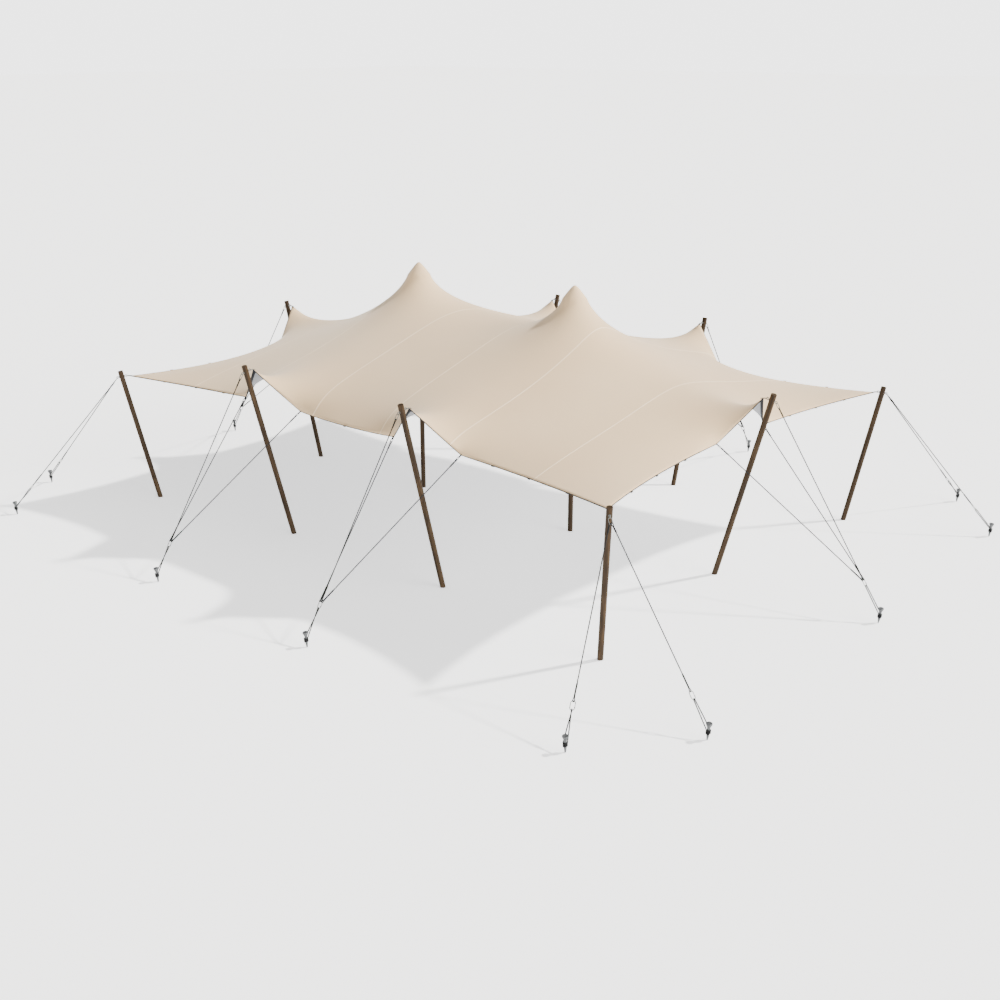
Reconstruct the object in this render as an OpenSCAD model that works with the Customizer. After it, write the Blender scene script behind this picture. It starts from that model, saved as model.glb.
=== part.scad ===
// Stretch-fabric shelter: canopy on twelve timber poles, guyed to fourteen ground stakes.
// Millimetres. Origin on the ground under the middle of the canopy, X along the long side, Z up.

/* [Canopy] */
// Length of the flat fabric
fabric_length = 10500; // [8400:50:12600]
// Width of the flat fabric
fabric_width = 7500; // [6000:50:9000]
// Fabric thickness
fabric_thickness = 4; // [3:0.5:8]
// Growth of the fabric in length once it is tensioned
stretch_length = 1.036; // [1.0:0.002:1.2]
// Growth of the fabric in width once it is tensioned
stretch_width = 1.047; // [1.0:0.002:1.2]
// Height of the four canopy corners
corner_height = 2379; // [1990:1:2860]
// Height of the edge where a side pole lifts it
lift_height = 3090; // [2600:1:3700]
// Height of the tied-down edge points beside each lift
dip_height = 2428; // [2030:1:2560]
// How far the edge is drawn in between the tie points
edge_sag = 135; // [0:5:220]
// Width of the webbing sewn under the edge
band_width = 60; // [40:1:90]
// Height of the two peaks
peak_height = 4368; // [3900:1:5240]
// Distance of each peak from the middle
peak_x = 1808; // [1510:1:2170]

/* [Poles] */
// Diameter of every pole
pole_d = 90; // [75:1:108]
// Outward reach of a corner pole from foot to top
corner_lean = 511; // [426:1:613]
// Outward reach of a side or end pole from foot to top
side_lean = 838; // [700:1:1000]
// How far a pole stands above the canopy point it lifts
pole_over = 90; // [75:1:108]
// Distance from the canopy point to the pole axis
pole_offset = 185; // [160:1:222]
// Distance of the eye bolt below the pole top
bolt_drop = 105; // [90:1:126]
// Diameter of the eye bolts
bolt_d = 12; // [10:1:14]
// Radius of an eye, at the middle of its bar
eye_r = 18; // [17:0.5:22]
// Bar diameter of an eye
eye_bar = 10; // [8:0.5:10]

/* [Guying] */
// Diameter of the guy lines
rope_d = 14; // [11.5:0.5:17]
// Corner stake nearer the long side, from the canopy corner along the long side
stake_a_x = 950; // [792:1:1140]
// Corner stake nearer the long side, from the canopy corner outwards
stake_a_y = 2054; // [1712:1:2465]
// Corner stake nearer the end, from the canopy corner outwards
stake_b_x = 2102; // [1752:1:2522]
// Corner stake nearer the end, from the canopy corner along the end
stake_b_y = 662; // [552:1:794]
// Distance of a side stake from the edge that it holds
side_stake_out = 2188; // [1823:1:2625]
// Distance of an end stake from the edge that it holds
end_stake_out = 2198; // [1832:1:2637]
// Length of a sling at a corner stake
corner_sling = 470; // [390:1:564]
// Length of a sling at a side or end stake
side_sling = 520; // [433:1:624]
// Bar diameter of the oval links
link_bar = 9; // [8:0.5:10]
// Bar diameter of the ground carabiners
hook_bar = 10; // [9:0.5:10]
// Half width of a ground carabiner, at the middle of its bar
hook_r = 31; // [30:0.5:37]
// Length of a ground carabiner, at the middle of its bar
hook_length = 120; // [112:1:144]

/* [Stakes] */
// Height of a stake above the ground
stake_height = 245; // [204:1:294]
// Diameter of the stake head
stake_head_d = 84; // [70:1:100]
// Diameter of the stake shank
stake_d = 40; // [34:1:46]
// Outward lean of a stake in degrees
stake_lean = 5; // [4:0.5:6]

/* [Hidden] */
gap = 0.3;
cell = fabric_length / 28;
cell_w = fabric_width / 20;
peak_u = peak_x * 0.95;
ring_u = cell * 0.16;
corner_p = [fabric_length / 2 * stretch_length, fabric_width / 2 * stretch_width, corner_height];
side_lift = [4 * cell * 1.203, corner_p[1] + 16, lift_height];
dip_in = [2 * cell * 1.453, corner_p[1] - 332, dip_height];
dip_out = [6 * cell * 1.1155, corner_p[1] - 332, dip_height];
end_lift = [corner_p[0] + 5, 0, lift_height - 10];
end_dip = [corner_p[0] - 339, 2 * cell_w * 0.92, dip_height + 14];
quads = [[-1, -1], [1, -1], [1, 1], [-1, 1]];
eye_at = pole_d / 2 + 14 + eye_r;
link_seat = eye_r - eye_bar / 2 - link_bar / 2 - gap;
link_r = 24;
link_len = 95;
short_len = 62;
short_r = 17;
splice_d = rope_d + 1;
loop_r = (splice_d + hook_bar) / 2 + 0.4;
bight_r = (rope_d + hook_bar) / 2 + 0.7;
hook_fan = 2 * asin((splice_d + 0.6) / 2 / (hook_r - loop_r));
link_fan = asin((splice_d + 0.6) / 2 / (link_r - loop_r));
lash_pitch = rope_d + 0.5;
cap_round = 65;
wrap_z = stake_height * 0.58;
hinge_x = hook_length - hook_r - 10;
$fn = 48;

function unit(v) = v / norm(v);
function flat2(v) = unit([v[0], v[1], 0]);
function sg(q, p) = [q[0] * p[0], q[1] * p[1], p[2]];
function mix(a, b, t) = a + (b - a) * t;

// Places children so that local X, Y, Z follow the directions x, y and their cross product.
module placed(o, x, y) {
  z = cross(x, y);
  multmatrix([[x[0], y[0], z[0], o[0]], [x[1], y[1], z[1], o[1]], [x[2], y[2], z[2], o[2]],
    [0, 0, 0, 1]])
    children();
}

function side_of(d) = abs(d[2]) > 0.98 ? unit(cross(d, [1, 0, 0])) : unit(cross([0, 0, 1], d));

// Round bar from a to b.
module bar(a, b, d) {
  w = unit(b - a);
  s = side_of(w);
  multmatrix([[s[0], cross(w, s)[0], w[0], a[0]], [s[1], cross(w, s)[1], w[1], a[1]],
    [s[2], cross(w, s)[2], w[2], a[2]], [0, 0, 0, 1]])
    cylinder(d = d, h = norm(b - a));
}

// Closed ring lying in the plane of x and y.
module ring(o, x, y, r, d) {
  placed(o, x, y)
    rotate_extrude($fn = 32)
      translate([r, 0])
        circle(d = d, $fn = 16);
}

// Half ring, bulging towards local -X when side is -1 and +X when side is 1.
module half_ring(at, r, d, side) {
  translate([at, 0, 0])
    rotate([0, 0, side > 0 ? -90 : 90])
      rotate_extrude(angle = 180, $fn = 32)
        translate([r, 0])
          circle(d = d, $fn = 16);
}

// Oval link whose bar starts at a and runs len along p, with its width along s.
module oval(a, p, s, len, r, d) {
  placed(a, p, s)
    union() {
      half_ring(r, r, d, -1);
      half_ring(len - r, r, d, 1);
      for (y = [-r, r])
        translate([r, y, 0])
          rotate([0, 90, 0])
            cylinder(d = d, h = len - 2 * r);
    }
}

// Tie points and poles. A post is [foot, top, outward direction, canopy point, kind].
function corner_post(q) =
  let (o = flat2(sg(q, [0.685, 0.728, 0])),
       c = sg(q, corner_p),
       ax = c + o * pole_offset,
       top = [ax[0], ax[1], c[2] + pole_over],
       foot = top - o * corner_lean - [0, 0, top[2]])
  [foot, top, o, c, 0];
function side_post(q) =
  let (o = [0, q[1], 0],
       c = sg(q, side_lift),
       ax = c + o * pole_offset,
       top = [ax[0], ax[1], c[2] + pole_over],
       foot = top - o * side_lean - [0, 0, top[2]])
  [foot, top, o, c, 1];
function end_post(e) =
  let (o = [e, 0, 0],
       c = [e * end_lift[0], 0, end_lift[2]],
       ax = c + o * pole_offset,
       top = [ax[0], ax[1], c[2] + pole_over],
       foot = top - o * side_lean - [0, 0, top[2]])
  [foot, top, o, c, 2];
posts = concat([for (q = quads) corner_post(q)], [for (q = quads) side_post(q)],
  [end_post(-1), end_post(1)]);

// Direction up a pole, direction of its bolt, and the bolt's middle.
function up_of(p) = unit(p[1] - p[0]);
function bolt_dir(p) = unit(p[2] - up_of(p) * (p[2] * up_of(p)));
function bolt_mid(p) = p[1] - up_of(p) * bolt_drop;
function outer_eye(p) = bolt_mid(p) + bolt_dir(p) * eye_at;
function inner_eye(p) = bolt_mid(p) - bolt_dir(p) * eye_at;

// Stakes. Each is [tip, outward direction].
function corner_stakes(q) = [for (s = [[stake_a_x, stake_a_y, 0], [stake_b_x, stake_b_y, 0]])
  [sg(q, [corner_p[0], corner_p[1], 0] + s), flat2(sg(q, s))]];
stakes = concat([for (q = quads) each corner_stakes(q)],
  [for (q = quads) [[q[0] * side_lift[0], q[1] * (side_lift[1] + side_stake_out), 0], [0, q[1], 0]]],
  [for (e = [-1, 1]) [[e * (end_lift[0] + end_stake_out), 0, 0], [e, 0, 0]]]);
function lean_dir(s) = [s[1][0] * sin(stake_lean), s[1][1] * sin(stake_lean), cos(stake_lean)];
function wrap_at(s) = s[0] + lean_dir(s) * wrap_z;

// Ground carabiners. Each is [upper end, direction to the stake, side, normal, stake, post].
function hook_of(si, pi, sling) =
  let (s = stakes[si],
       e = outer_eye(posts[pi]),
       w = wrap_at(s),
       d = unit(w - e),
       y = unit(cross([0, 0, 1], d)),
       mid = w - d * sling)
  [mid - d * hook_length / 2, d, y, cross(d, y), s, posts[pi]];
hooks = concat([for (i = [0:7]) hook_of(i, floor(i / 2), corner_sling)],
  [for (i = [0:5]) hook_of(8 + i, 4 + i, side_sling)]);

// Pull on the outer eye of each post.
function pull_of(pi) = pi < 4
  ? unit(unit(hooks[2 * pi][0] - outer_eye(posts[pi])) + unit(hooks[2 * pi + 1][0] - outer_eye(posts[pi])))
  : unit(hooks[4 + pi][0] - outer_eye(posts[pi]));
function link_side(pi) = unit(cross(bolt_dir(posts[pi]), pull_of(pi)));
function outer_start(pi) = outer_eye(posts[pi]) + pull_of(pi) * link_seat;
function inner_pull(p) = unit(p[3] - inner_eye(p));

// Seat of a rope loop on the round end of a link or carabiner.
function seat(c, p, s, r, a) = c + (p * cos(a) + s * sin(a)) * r;
function outer_seat(pi, a) =
  seat(outer_start(pi) + pull_of(pi) * (link_len - link_r), pull_of(pi), link_side(pi), link_r, a);
function hook_seat(h, a) = seat(h[0] + h[1] * hook_r, -h[1], h[2], hook_r, a);

// Dips of the edge beside post pi, and the hook that holds them.
function dips_of(pi) = pi < 8
  ? [sg(quads[pi - 4], dip_in), sg(quads[pi - 4], dip_out)]
  : [[(pi == 8 ? -1 : 1) * end_dip[0], -end_dip[1], end_dip[2]],
     [(pi == 8 ? -1 : 1) * end_dip[0], end_dip[1], end_dip[2]]];
function dip_sign(h, d) = (d - h[5][3]) * h[2] > 0 ? 1 : -1;
dip_reach = 46;
function dip_dir(h, d) = unit(hook_seat(h, hook_fan * dip_sign(h, d)) - d);
function dip_start(h, d) = d + dip_dir(h, d) * dip_reach;

// A guy line is [start seat, its outward and normal directions, the same at the far end].
function hook_end(h, a) = [hook_seat(h, a), h[2] * sin(a) - h[1] * cos(a), h[3]];
function post_end(pi, a) =
  let (p = pull_of(pi), s = link_side(pi))
  [outer_seat(pi, a), p * cos(a) + s * sin(a), cross(p, s)];
corner_lines = [for (i = [0:7])
  let (pi = floor(i / 2),
       a = (hooks[i][0] - outer_eye(posts[pi])) * link_side(pi) > 0 ? link_fan : -link_fan)
  concat(post_end(pi, a), hook_end(hooks[i], 0))];
pole_lines = [for (i = [4:9]) concat(post_end(i, 0), hook_end(hooks[4 + i], 0))];
dip_lines = [for (i = [4:9])
  for (d = dips_of(i))
    let (h = hooks[4 + i],
         g = dip_dir(h, d))
    concat([dip_start(h, d) + g * short_len, g, cross(g, side_of(g))],
      hook_end(h, hook_fan * dip_sign(h, d)))];
function line_dir(l) = unit(l[3] - l[0]);

// Edge of the tensioned canopy. u runs along the long side, v along the end.
function bowed(a, b, t, ex, sag) = [a[0] + (b[0] - a[0]) * ex[0], a[1] + (b[1] - a[1]) * ex[1],
  mix(a[2], b[2], t)] - sag * 4 * t * (1 - t);
function long_edge(u) =
  let (k = abs(u) / cell)
  k <= 2 ? [k / 2 * dip_in[0], dip_in[1], dip_in[2] - 35 * (1 - k * k / 4)]
  : k <= 4 ? mix(dip_in, side_lift, (k - 2) / 2)
  : k <= 6 ? mix(side_lift, dip_out, (k - 4) / 2)
  : let (t = (k - 6) / 8)
    bowed(dip_out, corner_p, t, [pow(t, 1.12), t], [0, edge_sag, 35]);
function end_edge(v) =
  let (k = abs(v) / cell_w)
  k <= 2 ? mix(end_lift, end_dip, k / 2)
  : let (t = (k - 2) / 8)
    bowed(end_dip, corner_p, t, [t, pow(t, 0.95)], [edge_sag, 0, 35]);
function signed(p, u, v) = [u < 0 ? -p[0] : p[0], v < 0 ? -p[1] : p[1], p[2]];

// Fabric grid, finer around the two peaks.
half_u = concat([for (i = [0:4]) i * cell], [for (i = [-2:2]) peak_u + i * ring_u],
  [for (i = [5:14]) i * cell]);
half_v = concat([0, ring_u, 2 * ring_u], [for (i = [1:10]) i * cell_w]);
function both(h) = concat([for (i = [len(h) - 1:-1:1]) -h[i]], h);
us = both(half_u);
vs = both(half_v);
nu = len(us);
nv = len(vs);
cap_edge = 200;

// Starting position of a grid point, and whether it is held.
function held(i, j) = i == 0 || j == 0 || i == nu - 1 || j == nv - 1
  || norm([abs(us[i]) - peak_u, vs[j]]) < cap_edge;
function dome(u, v) =
  let (r = norm([abs(u) - peak_u, v]))
  [sign(u) * (peak_x + (abs(u) - peak_u) * 1.05), v * 1.05,
   peak_height - sqrt(cap_round * cap_round + 2.04 * r * r) + cap_round];
function start(i, j) =
  j == 0 || j == nv - 1 ? signed(long_edge(us[i]), us[i], vs[j])
  : i == 0 || i == nu - 1 ? signed(end_edge(vs[j]), us[i], vs[j])
  : norm([abs(us[i]) - peak_u, vs[j]]) < cap_edge ? dome(us[i], vs[j])
  : [us[i] * 1.03, vs[j] * 1.0,
     2450 + (peak_height - 2450) * 0.55 * exp(-norm([abs(us[i]) - peak_u, vs[j]]) / 1700)];

// Tension of the fabric rises towards each peak and each lifted point, and it is drawn
// hardest straight in from the lifts.
function pull(u, v) = 1
  + 458 / max(60, norm([u - peak_u, v])) + 458 / max(60, norm([u + peak_u, v]))
  + 531 / max(60, norm([abs(u) - 4 * cell, abs(v) - 10 * cell_w]))
  + 644 / max(60, norm([abs(u) - 14 * cell, v]));
function bell(x, w) = exp(-x * x / (w * w));
function pull_u(u, v) = pull(u, v) + 3 * bell(v, 396) * bell(14 * cell - abs(u), 1300)
  - (abs(u) <= peak_u ? 0.658 * bell(v, 600) : 0);
function pull_v(u, v) = pull(u, v) + 3 * bell(abs(u) - 4 * cell, 280) * bell(10 * cell_w - abs(v), 1300);
function wide_u(i) = (us[i + 1] - us[i - 1]) / 2;
function wide_v(j) = (vs[j + 1] - vs[j - 1]) / 2;
function weights(i, j) =
  let (e = pull_u((us[i] + us[i + 1]) / 2, vs[j]) * wide_v(j) / (us[i + 1] - us[i]),
       w = pull_u((us[i] + us[i - 1]) / 2, vs[j]) * wide_v(j) / (us[i] - us[i - 1]),
       n = pull_v(us[i], (vs[j] + vs[j + 1]) / 2) * wide_u(i) / (vs[j + 1] - vs[j]),
       s = pull_v(us[i], (vs[j] + vs[j - 1]) / 2) * wide_u(i) / (vs[j] - vs[j - 1]),
       t = e + w + n + s)
  [e / t, w / t, n / t, s / t];

// Settles every free point to the balance of its neighbours, each round speeding up the last.
function settle(now, last, k, c, n) = n == 0 ? now
  : settle([for (i = [0:nu - 1]) [for (j = [0:nv - 1])
      k[i][j] == 0 ? now[i][j]
      : c * (k[i][j][0] * now[i + 1][j] + k[i][j][1] * now[i - 1][j]
        + k[i][j][2] * now[i][j + 1] + k[i][j][3] * now[i][j - 1]) + (1 - c) * last[i][j]]],
      now, k, 1 / (1 - settle_r * settle_r * c / 4), n - 1);
settle_r = 0.995;
function fabric() =
  let (k = [for (i = [0:nu - 1]) [for (j = [0:nv - 1]) held(i, j) ? 0 : weights(i, j)]],
       s = [for (i = [0:nu - 1]) [for (j = [0:nv - 1]) start(i, j)]],
       f = [for (i = [0:nu - 1]) [for (j = [0:nv - 1])
         k[i][j] == 0 ? s[i][j]
         : k[i][j][0] * s[i + 1][j] + k[i][j][1] * s[i - 1][j]
           + k[i][j][2] * s[i][j + 1] + k[i][j][3] * s[i][j - 1]]])
  settle(f, s, k, 1 / (1 - settle_r * settle_r / 2), 150);

module canopy() {
  g = fabric();
  down = [0, 0, -fabric_thickness];
  n = nu * nv;
  top = [for (i = [0:nu - 1]) for (j = [0:nv - 1]) g[i][j]];
  faces = concat(
    [for (i = [0:nu - 2]) for (j = [0:nv - 2])
      for (f = [[i * nv + j, i * nv + j + 1, (i + 1) * nv + j + 1],
        [i * nv + j, (i + 1) * nv + j + 1, (i + 1) * nv + j]]) f],
    [for (i = [0:nu - 2]) for (j = [0:nv - 2])
      for (f = [[n + i * nv + j, n + (i + 1) * nv + j + 1, n + i * nv + j + 1],
        [n + i * nv + j, n + (i + 1) * nv + j, n + (i + 1) * nv + j + 1]]) f],
    [for (i = [0:nu - 2])
      for (f = [[i * nv, (i + 1) * nv, n + (i + 1) * nv], [i * nv, n + (i + 1) * nv, n + i * nv]]) f],
    [for (i = [0:nu - 2])
      for (f = [[(i + 1) * nv - 1, n + (i + 2) * nv - 1, (i + 2) * nv - 1],
        [(i + 1) * nv - 1, n + (i + 1) * nv - 1, n + (i + 2) * nv - 1]]) f],
    [for (j = [0:nv - 2])
      for (f = [[j, n + j + 1, j + 1], [j, n + j, n + j + 1]]) f],
    [for (j = [0:nv - 2])
      for (f = [[n - nv + j, n - nv + j + 1, 2 * n - nv + j + 1],
        [n - nv + j, 2 * n - nv + j + 1, 2 * n - nv + j]]) f]);
  color("tan")
    polyhedron(points = concat(top, [for (p = top) p + down]), faces = faces);
}

// Strip of webbing on the underside between an edge row and the row inside it.
module strip(a, b, turned) {
  f = band_width / cell;
  n = len(a);
  low = [0, 0, -fabric_thickness - gap];
  thin = [0, 0, -2];
  // Five points to a cell: two on the edge, two inside it and one on the fabric's fold line.
  mids = [for (i = [0:n - 2]) turned ? mix(a[i + 1], b[i], f) : mix(a[i], b[i + 1], f)];
  pts = concat(a, [for (i = [0:n - 1]) mix(a[i], b[i], f)], mids);
  m = len(pts);
  tops = [for (i = [0:n - 2])
    each [[i, 2 * n + i, n + i], [i, i + 1, 2 * n + i], [i + 1, n + i + 1, 2 * n + i]]];
  rim = concat([for (i = [0:n - 1]) i],
    [for (i = [n - 1:-1:1]) each [n + i, 2 * n + i - 1]], [n]);
  c = len(rim);
  sides = [for (i = [0:c - 1])
    for (t = [[rim[i], m + rim[i], m + rim[(i + 1) % c]], [rim[i], m + rim[(i + 1) % c], rim[(i + 1) % c]]]) t];
  polyhedron(points = concat([for (p = pts) p + low], [for (p = pts) p + low + thin]),
    faces = concat([for (t = tops) [t[2], t[1], t[0]]], [for (t = tops) [t[0] + m, t[1] + m, t[2] + m]],
      [for (t = sides) [t[2], t[1], t[0]]]));
}
module edge_band() {
  g = fabric();
  color("dimgray") {
    strip([for (i = [0:nu - 1]) g[i][0]], [for (i = [0:nu - 1]) g[i][1]], false);
    strip([for (i = [nu - 1:-1:0]) g[i][nv - 1]], [for (i = [nu - 1:-1:0]) g[i][nv - 2]], false);
    strip([for (j = [nv - 2:-1:1]) g[0][j]], [for (j = [nv - 2:-1:1]) g[1][j]], true);
    strip([for (j = [1:nv - 2]) g[nu - 1][j]], [for (j = [1:nv - 2]) g[nu - 2][j]], true);
  }
}

// Webbing loop at an edge point p, going anticlockwise from before to after.
module tab(p, before, after) {
  t = flat2(after - before);
  o = [t[1], -t[0], 0];
  clear = 0.4 + 22 * max(0, unit(before - p) * o, unit(after - p) * o);
  placed(p - [0, 0, fabric_thickness / 2], o, t)
    union() {
      translate([clear, -22, -1.5])
        cube([18 - clear, 44, 3]);
      translate([24, -22, 0])
        rotate([-90, 0, 0])
          difference() {
            cylinder(r = 9, h = 44);
            translate([0, 0, -1])
              cylinder(r = 6, h = 46);
          }
    }
}
function long_pt(k, s) = signed(long_edge(k * cell), k, s);
function end_pt(k, s) = signed(end_edge(k * cell_w), s, k);
module edge_tabs() {
  color("dimgray") {
    for (s = [-1, 1])
      for (k = [-12, -10, -8, 0, 8, 10, 12])
        tab(long_pt(k, s), long_pt(k + s, s), long_pt(k - s, s));
    for (s = [-1, 1])
      for (k = [-8, -6, -4, 4, 6, 8])
        tab(end_pt(k, s), end_pt(k - s, s), end_pt(k + s, s));
  }
}

// Strap from the canopy point c to the bar of a link at e, whose bar runs along y.
module strap(c, e, y, clear) {
  d = unit(e - c);
  placed(c, d, y)
    difference() {
      union() {
        translate([clear, -11, -2])
          cube([norm(e - c) - link_bar / 2 - 2 - clear, 22, 4]);
        translate([norm(e - c), -5.5, 0])
          rotate([-90, 0, 0])
            cylinder(r = link_bar / 2 + 4, h = 11);
      }
      translate([norm(e - c), -30, 0])
        rotate([-90, 0, 0])
          cylinder(r = link_bar / 2 + 1.4, h = 60);
    }
}
function inner_side(p) = unit(cross([0, 0, 1], p[2]));
function inner_start(p) = inner_eye(p) + inner_pull(p) * link_seat;
module canopy_straps() {
  color("dimgray") {
    for (p = posts)
      strap(p[3] - [0, 0, fabric_thickness / 2], inner_start(p) + inner_pull(p) * short_len, inner_side(p), 0.5);
    for (i = [4:9])
      for (d = dips_of(i)) {
        h = hooks[4 + i];
        strap(d - [0, 0, fabric_thickness / 2], dip_start(h, d), side_of(dip_dir(h, d)), 3);
      }
  }
}

module post(i) {
  p = posts[i];
  color("saddlebrown")
    difference() {
      bar(p[0] - up_of(p) * 60, p[1], pole_d);
      translate([p[0][0] - 200, p[0][1] - 200, -200])
        cube([400, 400, 200]);
      bar(bolt_mid(p) - bolt_dir(p) * pole_d, bolt_mid(p) + bolt_dir(p) * pole_d, bolt_d + 0.6);
    }
}
module pole_corner_front_left() { post(0); }
module pole_corner_front_right() { post(1); }
module pole_corner_back_right() { post(2); }
module pole_corner_back_left() { post(3); }
module pole_side_front_left() { post(4); }
module pole_side_front_right() { post(5); }
module pole_side_back_right() { post(6); }
module pole_side_back_left() { post(7); }
module pole_end_left() { post(8); }
module pole_end_right() { post(9); }

cap_top = peak_height - fabric_thickness - 0.4;
module king(x) {
  color("saddlebrown")
    translate([x, 0, 0])
      cylinder(d = pole_d, h = cap_top - 75 - gap);
}
module king_pole_left() { king(-peak_x); }
module king_pole_right() { king(peak_x); }
module king_caps() {
  r = pole_d / 2;
  color("dimgray")
    for (x = [-peak_x, peak_x])
      translate([x, 0, cap_top])
        rotate_extrude($fn = 64)
          polygon([[0, 0], [r + 15, -57], [r + 21, -69], [r + 21, -125], [r + gap, -125],
            [r + gap, -75], [0, -75]]);
}

module eye_bolts() {
  color("silver")
    for (p = posts) {
      b = bolt_dir(p);
      t = inner_side(p);
      union() {
        bar(bolt_mid(p) - b * (pole_d / 2 + 14), bolt_mid(p) + b * (pole_d / 2 + 14), bolt_d);
        ring(outer_eye(p), b, cross(t, b), eye_r, eye_bar);
        ring(inner_eye(p), b, cross(t, b), eye_r, eye_bar);
      }
    }
}
module bolt_washers() {
  color("silver")
    for (p = posts)
      for (s = [-1, 1])
        placed(bolt_mid(p), inner_side(p), cross(bolt_dir(p) * s, inner_side(p)))
          translate([0, 0, pole_d / 2 + gap])
            difference() {
              union() {
                cylinder(r = 19, h = 2.5);
                cylinder(r = 11, h = 7, $fn = 6);
              }
              translate([0, 0, -1])
                cylinder(d = bolt_d + 0.4, h = 20);
            }
}

module inner_links() {
  color("silver")
    for (p = posts)
      oval(inner_start(p), inner_pull(p), inner_side(p), short_len, short_r, link_bar);
}
module outer_links() {
  color("silver")
    for (i = [0:9])
      oval(outer_start(i), pull_of(i), link_side(i), link_len, link_r, link_bar);
}
module dip_links() {
  color("silver")
    for (i = [4:9])
      for (d = dips_of(i)) {
        h = hooks[4 + i];
        g = dip_dir(h, d);
        oval(dip_start(h, d), g, side_of(g), short_len, short_r, link_bar);
      }
}

// Rope with a loop around a bar at each end.
module guy(l) {
  g = line_dir(l);
  union() {
    bar(l[0] + g * (loop_r + 0.5), l[3] - g * (loop_r + 0.5), rope_d);
    ring(l[0], l[1], l[2], loop_r, splice_d);
    ring(l[3], l[4], l[5], loop_r, splice_d);
  }
}
module corner_guys() {
  color("dimgray")
    for (l = corner_lines)
      guy(l);
}
module pole_guys() {
  color("dimgray")
    for (l = pole_lines)
      guy(l);
}
module dip_guys() {
  color("dimgray")
    for (l = dip_lines)
      guy(l);
}

// Sewn sleeves over the spliced ends of the guy lines.
module sleeve(a, b) {
  difference() {
    bar(a, b, rope_d + 7);
    bar(a - unit(b - a), b + unit(b - a), rope_d + 2 * gap);
  }
}
module guy_sleeves() {
  color("dimgray")
    for (l = concat(corner_lines, pole_lines, dip_lines)) {
      g = line_dir(l);
      sleeve(l[0] + g * 34, l[0] + g * 134);
      sleeve(l[3] - g * 234, l[3] - g * 34);
    }
}

// Local X of a ground carabiner points to its stake and local Y to the side with the gate.
module hook_frame(h) {
  r = hook_r;
  e = hook_length - hook_r;
  placed(h[0], h[1], h[2])
    difference() {
      union() {
        half_ring(r, r, hook_bar, -1);
        half_ring(e, r, hook_bar, 1);
        translate([r, -r, 0])
          rotate([0, 90, 0])
            cylinder(d = hook_bar, h = e - r);
        translate([r, r, 0])
          rotate([0, 90, 0])
            cylinder(d = hook_bar, h = 8);
        translate([hinge_x + 6.5, r, 0])
          rotate([0, 90, 0])
            cylinder(d = hook_bar, h = e - hinge_x - 6.5);
        for (z = [-5.5, 3.3])
          translate([hinge_x - 5.5, r - 5.5, z])
            cube([14, 11, 2.2]);
      }
      translate([hinge_x, r, -10])
        cylinder(d = 4.1, h = 20);
    }
}
module ground_carabiners() {
  color("silver")
    for (h = hooks)
      hook_frame(h);
}
module gate_pins() {
  color("silver")
    for (h = hooks)
      placed(h[0], h[1], h[2])
        translate([hinge_x, hook_r, -5.8])
          cylinder(d = 4, h = 11.6);
}
module gate(i) {
  h = hooks[i];
  color("silver")
    placed(h[0], h[1], h[2])
      difference() {
        union() {
          translate([hook_r + 8.6, hook_r, 0])
            rotate([0, 90, 0])
              cylinder(d = 8, h = hinge_x - 8 - hook_r - 8.6);
          translate([hinge_x - 9, hook_r - 3.8, -3])
            cube([9, 7.6, 6]);
          translate([hinge_x, hook_r, -3])
            cylinder(r = 5.2, h = 6);
        }
        translate([hinge_x, hook_r, -10])
          cylinder(d = 4.1, h = 20);
      }
}
module gate_01() { gate(0); }
module gate_02() { gate(1); }
module gate_03() { gate(2); }
module gate_04() { gate(3); }
module gate_05() { gate(4); }
module gate_06() { gate(5); }
module gate_07() { gate(6); }
module gate_08() { gate(7); }
module gate_09() { gate(8); }
module gate_10() { gate(9); }
module gate_11() { gate(10); }
module gate_12() { gate(11); }
module gate_13() { gate(12); }
module gate_14() { gate(13); }

module stake(k) {
  d = stake_d / 2;
  w = stake_head_d / 2;
  z = stake_height;
  color("gray")
    placed(k[0] + [0, 0, 9 * sin(stake_lean)], unit(cross(cross(lean_dir(k), k[1]), lean_dir(k))),
      unit(cross(lean_dir(k), k[1])))
      rotate_extrude()
        polygon([[0, 0], [9, 0], [11.5, z * 0.05], [d, z * 0.33], [d, z * 0.69], [d + 4, z * 0.77],
          [w - 4, z * 0.9], [w, z * 0.935], [w, z * 0.965], [w - 3, z], [w - 9, z],
          [w - 11, z - 3], [0, z - 3]]);
}
module stakes_corner() {
  for (i = [0:7])
    stake(stakes[i]);
}
module stakes_front() {
  for (i = [8, 9])
    stake(stakes[i]);
}
module stakes_back() {
  for (i = [10, 11])
    stake(stakes[i]);
}
module stakes_left() { stake(stakes[12]); }
module stakes_right() { stake(stakes[13]); }

// Closed tube of eight sides along the points, with refs giving each section's first side.
module loop_tube(pts, refs, d) {
  n = len(pts);
  sections = [for (i = [0:n - 1])
    let (t = unit(pts[(i + 1) % n] - pts[(i + n - 1) % n]),
         u = unit(refs[i] - t * (refs[i] * t)),
         v = cross(t, u))
    each [for (k = [0:7]) pts[i] + (u * cos(45 * k) + v * sin(45 * k)) * (d / 2)]];
  polyhedron(points = sections, faces = [for (i = [0:n - 1]) for (k = [0:7])
    [i * 8 + k, ((i + 1) % n) * 8 + k, ((i + 1) % n) * 8 + (k + 1) % 8, i * 8 + (k + 1) % 8]]);
}

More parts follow.
